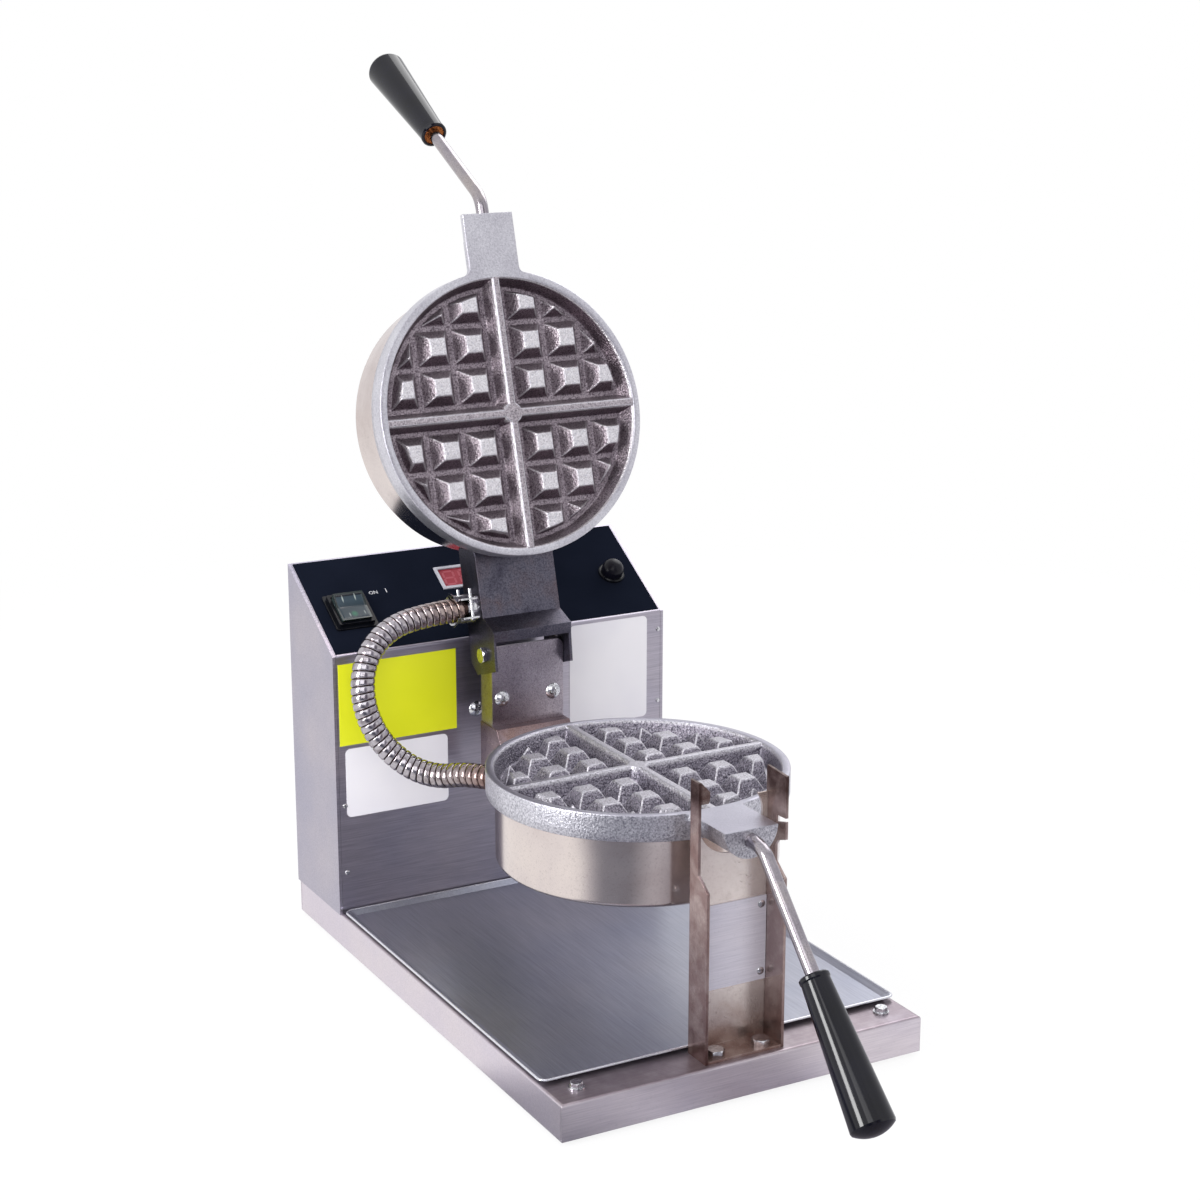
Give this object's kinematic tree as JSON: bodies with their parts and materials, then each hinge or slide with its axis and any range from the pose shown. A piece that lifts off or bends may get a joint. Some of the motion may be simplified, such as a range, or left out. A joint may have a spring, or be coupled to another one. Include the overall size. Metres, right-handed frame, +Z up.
{
  "type": "commercial waffle maker",
  "caption": "Commercial round waffle maker with a pair of hinged cast irons on a turn shaft, a drip tray and a sloping control box.",
  "frame": {"origin": "middle of the whole object's footprint, at the height of the soles of its feet", "axes": "+X to the user's right, +Y from the grips towards the control box at the back, +Z up"},
  "size_m": [0.283, 0.72, 0.6623],
  "materials": {
    "brushed_sheet": "brushed",
    "plate_sheet": "satin",
    "tray_sheet": "brushed",
    "foot_rubber": "matt",
    "fastener_steel": "polished",
    "bracket_steel": "polished",
    "heat_tinted_steel": "satin",
    "name_plate": "satin",
    "shell_steel": "brushed",
    "cast_aluminium": "rough cast",
    "machined_steel": "machined",
    "bush_bronze": "machined",
    "rod_steel": "polished",
    "grip_plastic": "gloss",
    "ferrule_brass": "satin",
    "conduit_steel": "polished",
    "heater_steel": "satin",
    "mineral_wool": "fibrous",
    "yellow_vinyl": "satin",
    "white_vinyl": "satin",
    "dark_film": "satin",
    "black_plastic": "gloss",
    "smoked_plastic": "translucent gloss",
    "button_rubber": "satin",
    "display_bezel": "satin",
    "display_red": "translucent",
    "board_green": "matt"
  },
  "bodies": {
    "base": {"base_pan": "brushed_sheet", "bottom_plate": "plate_sheet", "rubber_feet": "foot_rubber", "deck_screws": "fastener_steel", "front_bracket": "bracket_steel", "bracket_bolts": "fastener_steel", "info_plate": "name_plate", "plate_rivets": "fastener_steel", "front_cover": "brushed_sheet", "left_side_panel": "brushed_sheet", "right_side_panel": "brushed_sheet", "back_panel": "brushed_sheet", "back_screws": "fastener_steel", "inlet_bush": "black_plastic", "yellow_sticker": "yellow_vinyl", "left_sticker": "white_vinyl", "right_sticker": "white_vinyl", "panel_film": "dark_film", "rocker_housing": "black_plastic", "button_ring": "black_plastic", "button_body": "black_plastic", "button_spring": "heater_steel", "display_frame": "display_bezel", "display_window": "display_red", "controller_board": "board_green", "board_posts": "black_plastic", "terminal_block": "black_plastic", "bearing_housing": "machined_steel", "housing_screws": "fastener_steel", "turn_bush": "bush_bronze"},
    "tray": {"drip_tray": "tray_sheet"},
    "lower_iron": {"lower_casting": "cast_aluminium", "lower_shell": "shell_steel", "lower_shell_screws": "fastener_steel", "lower_heater": "heater_steel", "lower_insulation": "mineral_wool", "lower_rod": "rod_steel", "lower_grip": "grip_plastic", "lower_ferrule": "ferrule_brass", "lower_hinge_bracket": "bracket_steel", "hinge_upright": "bracket_steel", "hinge_screws": "fastener_steel", "pivot_bolt": "fastener_steel", "turn_shaft": "machined_steel", "stop_collar": "machined_steel", "lower_conduit_fitting": "conduit_steel", "conduit": "conduit_steel"},
    "upper_iron": {"upper_casting": "cast_aluminium", "upper_shell": "shell_steel", "upper_shell_screws": "fastener_steel", "upper_heater": "heater_steel", "upper_insulation": "mineral_wool", "upper_rod": "rod_steel", "upper_grip": "grip_plastic", "upper_ferrule": "ferrule_brass", "upper_hinge_bracket": "heat_tinted_steel", "upper_conduit_fitting": "conduit_steel", "clamp_screws": "fastener_steel"},
    "rocker": {"power_rocker": "smoked_plastic"},
    "button": {"start_button": "button_rubber"}
  },
  "joints": [
    {"name": "iron_turn", "type": "hinge", "parent": "base", "child": "lower_iron", "pos_m": [0, 0.15237, 0.1902], "axis": [0, 1, 0], "range_deg": [0, 30]},
    {"name": "lid_hinge", "type": "hinge", "parent": "lower_iron", "child": "upper_iron", "pos_m": [0, 0.11947, 0.2286], "axis": [1, 0, 0], "range_deg": [0, 106], "deforming": ["conduit"]},
    {"name": "power_rocker", "type": "hinge", "parent": "base", "child": "rocker", "pos_m": [-0.1117, 0.18873, 0.25533], "axis": [-1, 0, 0], "range_deg": [0, 14]},
    {"name": "start_button", "type": "slide", "parent": "base", "child": "button", "axis": [0, 0.5269, -0.8499], "range_m": [0, 0.004], "stiffness_N_per_m": 300, "deforming": ["button_spring"]},
    {"name": "drip_tray", "type": "slide", "parent": "base", "child": "tray", "axis": [-1, 0, 0], "range_m": [0, 0.28]}
  ]
}
